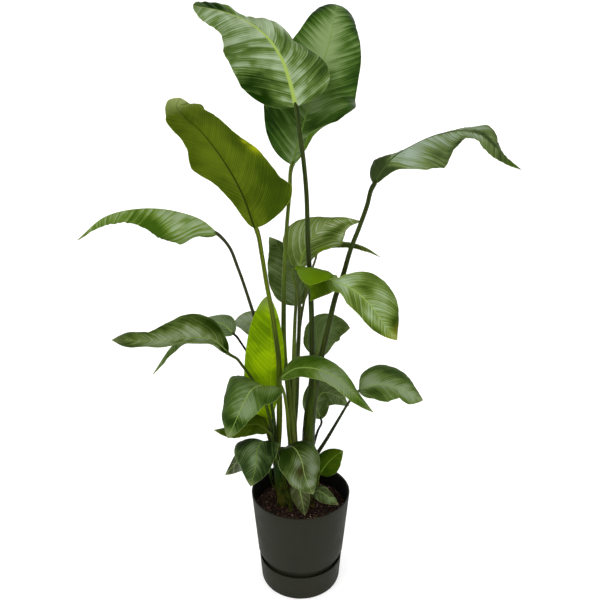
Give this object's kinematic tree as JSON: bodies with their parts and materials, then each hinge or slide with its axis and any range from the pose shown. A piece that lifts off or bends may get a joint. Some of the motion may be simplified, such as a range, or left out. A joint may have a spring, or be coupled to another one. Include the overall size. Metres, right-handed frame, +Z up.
{
  "type": "potted bird of paradise",
  "caption": "Tall clump of broad paddle leaves on long arching stalks, in a round planter with a matching water base.",
  "frame": {"origin": "middle of the water base's underside, where it stands on the floor", "axes": "+Z up along the planter's axis; the pictured side faces -Y and +X is to its right"},
  "size_m": [0.9124, 0.4361, 1.4047],
  "materials": {
    "leaf_dark": "satin dark green leaf with a pale midrib",
    "leaf_green": "satin green leaf with a pale midrib",
    "leaf_olive": "leaf underside, matt olive green",
    "leaf_lime": "young leaf, bright lime green",
    "stalk": "smooth green leaf stalks and sheaths",
    "plastic": "matt anthracite plastic",
    "soil": "dark moist potting soil"
  },
  "bodies": {
    "root": {"leaf_top_left": "leaf_green", "leaf_top_back": "leaf_green", "leaf_upper_left": "leaf_olive", "leaf_far_left": "leaf_green", "leaf_left_front": "leaf_dark", "leaf_left_back": "leaf_dark", "leaf_left_hidden": "leaf_dark", "leaf_young_lime": "leaf_lime", "leaf_low_left": "leaf_green", "leaf_low_left_small": "leaf_dark", "leaf_low_front": "leaf_dark", "leaf_pot_front": "leaf_green", "leaf_pot_right": "leaf_dark", "leaf_pot_bright": "leaf_green", "leaf_front_arch": "leaf_green", "leaf_low_right": "leaf_dark", "leaf_mid_right": "leaf_dark", "leaf_centre_back": "leaf_dark", "leaf_dark_left_back": "leaf_dark", "leaf_narrow_back": "leaf_dark", "leaf_dark_right_back": "leaf_dark", "leaf_torn_back": "leaf_dark", "leaf_curled_left": "leaf_dark", "leaf_small_left": "leaf_dark", "leaf_top_right": "leaf_dark", "shoot_right": "stalk", "shoot_middle": "stalk", "shoot_left": "stalk", "shoot_low_left": "stalk", "shoot_front": "stalk", "shoot_young": "stalk", "planter": "plastic", "water_base": "plastic", "soil": "soil"}
  },
  "joints": []
}
